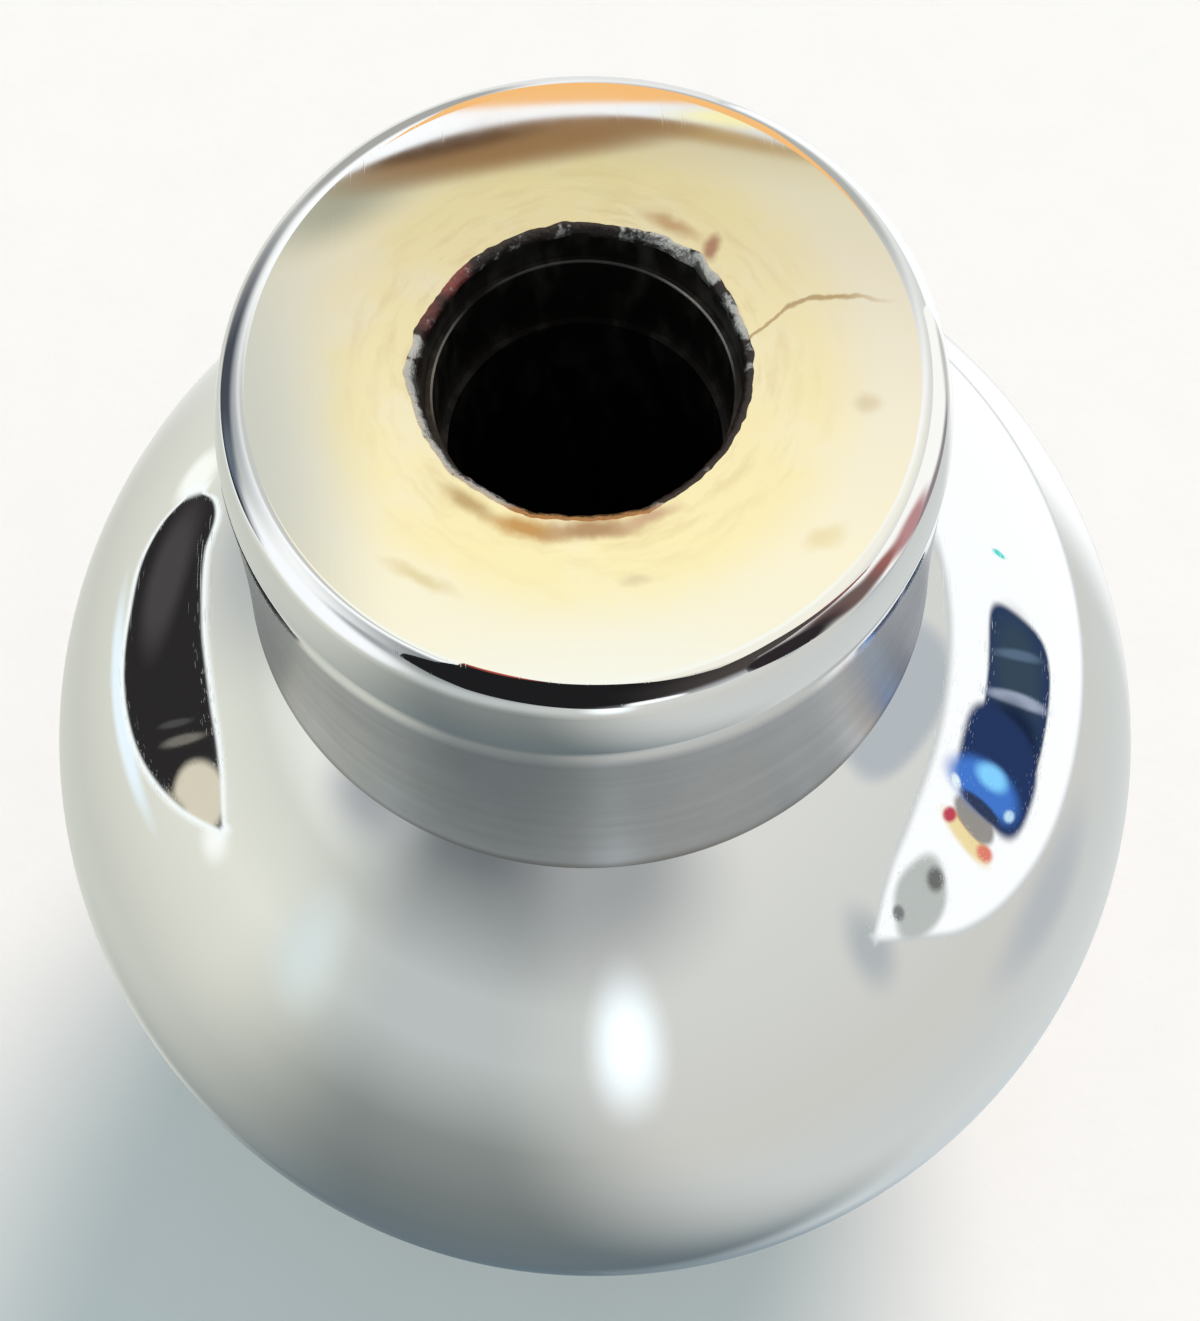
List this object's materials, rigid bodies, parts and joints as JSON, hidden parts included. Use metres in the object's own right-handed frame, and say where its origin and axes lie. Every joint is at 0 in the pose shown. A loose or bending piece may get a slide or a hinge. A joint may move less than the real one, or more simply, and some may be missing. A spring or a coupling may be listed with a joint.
{
  "type": "dash control knob",
  "caption": "Chromed ball-shaped dash control knob with a thick rounded neck and a stepped blind hole for the shaft.",
  "frame": {"origin": "middle of the flat front face, on which the knob stands", "axes": "+Z along the knob's axis, out of the mouth of the shaft hole"},
  "size_m": [0.032, 0.032, 0.0372],
  "materials": {
    "plating": "polished bright plating"
  },
  "bodies": {
    "root": {"knob": "plating"}
  },
  "joints": []
}
